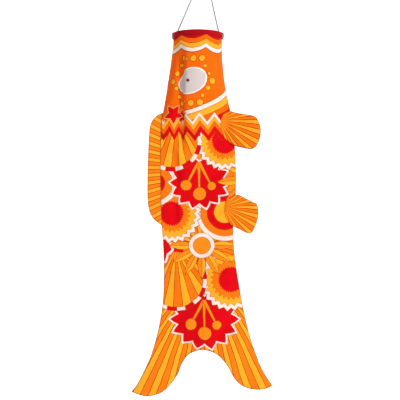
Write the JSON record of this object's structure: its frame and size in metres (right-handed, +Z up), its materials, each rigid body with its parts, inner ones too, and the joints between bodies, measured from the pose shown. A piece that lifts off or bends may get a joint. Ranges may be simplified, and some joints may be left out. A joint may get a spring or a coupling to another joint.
{
  "type": "carp streamer",
  "caption": "Hanging fabric carp streamer: an open printed tube with a hooped mouth, sewn-on fins and a forked tail on a two-leg cord bridle.",
  "frame": {"origin": "inside of the top of the hanging loop, where a hook bears", "axes": "+Z up along the hanging fish, -X towards its back, +X towards its belly, -Y towards its near flank"},
  "size_m": [0.386, 0.1386, 1.2148],
  "materials": {
    "cord": "twisted undyed cord, matt",
    "hoop": "pale drawn rod",
    "ferrule": "drawn tube",
    "hem": "rolled and stitched cotton hem, matt",
    "print": "printed plain-weave cloth",
    "fin": "printed plain-weave cloth, two layers"
  },
  "bodies": {
    "bridle": {"hanging_loop": "cord", "apex_knot": "cord", "bridle_cord_left": "cord", "bridle_cord_right": "cord"},
    "front": {"mouth_hoop": "hoop", "hoop_ferrule": "ferrule", "mouth_binding": "hem", "cord_hitch_left": "cord", "cord_hitch_right": "cord", "near_flank_upper": "print", "far_flank_upper": "print"},
    "middle": {"near_flank_middle": "print", "far_flank_middle": "print"},
    "tail": {"near_flank_tail": "print", "far_flank_tail": "print"},
    "dorsal_fin": {"dorsal_fin": "fin"},
    "pectoral_fin_near": {"pectoral_fin_near": "fin"},
    "pectoral_fin_far": {"pectoral_fin_far": "fin"},
    "pelvic_fin_near": {"pelvic_fin_near": "fin"},
    "pelvic_fin_far": {"pelvic_fin_far": "fin"}
  },
  "joints": [
    {"name": "mouth_tilt", "type": "hinge", "parent": "bridle", "child": "front", "pos_m": [-0.02, 0, -0.2155], "axis": [1, 0, 0], "range_deg": [-75, 75]},
    {"name": "upper_flex", "type": "hinge", "parent": "front", "child": "middle", "pos_m": [-0.02, 0, -0.79], "axis": [1, 0, 0], "range_deg": [-60, 60]},
    {"name": "lower_flex", "type": "hinge", "parent": "middle", "child": "tail", "pos_m": [-0.02, 0, -0.952], "axis": [1, 0, 0], "range_deg": [-65, 65]},
    {"name": "dorsal_fin_flap", "type": "hinge", "parent": "front", "child": "dorsal_fin", "pos_m": [-0.1256, 0, -0.588], "axis": [0, 0, 1], "range_deg": [-85, 85], "stiffness_Nm_per_rad": 0.002},
    {"name": "pectoral_fin_near_flap", "type": "hinge", "parent": "front", "child": "pectoral_fin_near", "pos_m": [0.0545, -0.018, -0.479], "axis": [0.2473, 0.1309, -0.9601], "range_deg": [0, 110], "stiffness_Nm_per_rad": 0.002},
    {"name": "pelvic_fin_near_flap", "type": "hinge", "parent": "front", "child": "pelvic_fin_near", "pos_m": [0.062, -0.0086, -0.705], "axis": [0.0963, 0, -0.9954], "range_deg": [0, 110], "stiffness_Nm_per_rad": 0.002},
    {"name": "pectoral_fin_far_flap", "type": "hinge", "parent": "front", "child": "pectoral_fin_far", "pos_m": [0.0545, 0.018, -0.479], "axis": [-0.2473, 0.1309, 0.9601], "range_deg": [0, 110], "stiffness_Nm_per_rad": 0.002},
    {"name": "pelvic_fin_far_flap", "type": "hinge", "parent": "front", "child": "pelvic_fin_far", "pos_m": [0.062, 0.0086, -0.705], "axis": [-0.0963, 0, 0.9954], "range_deg": [0, 110], "stiffness_Nm_per_rad": 0.002}
  ]
}
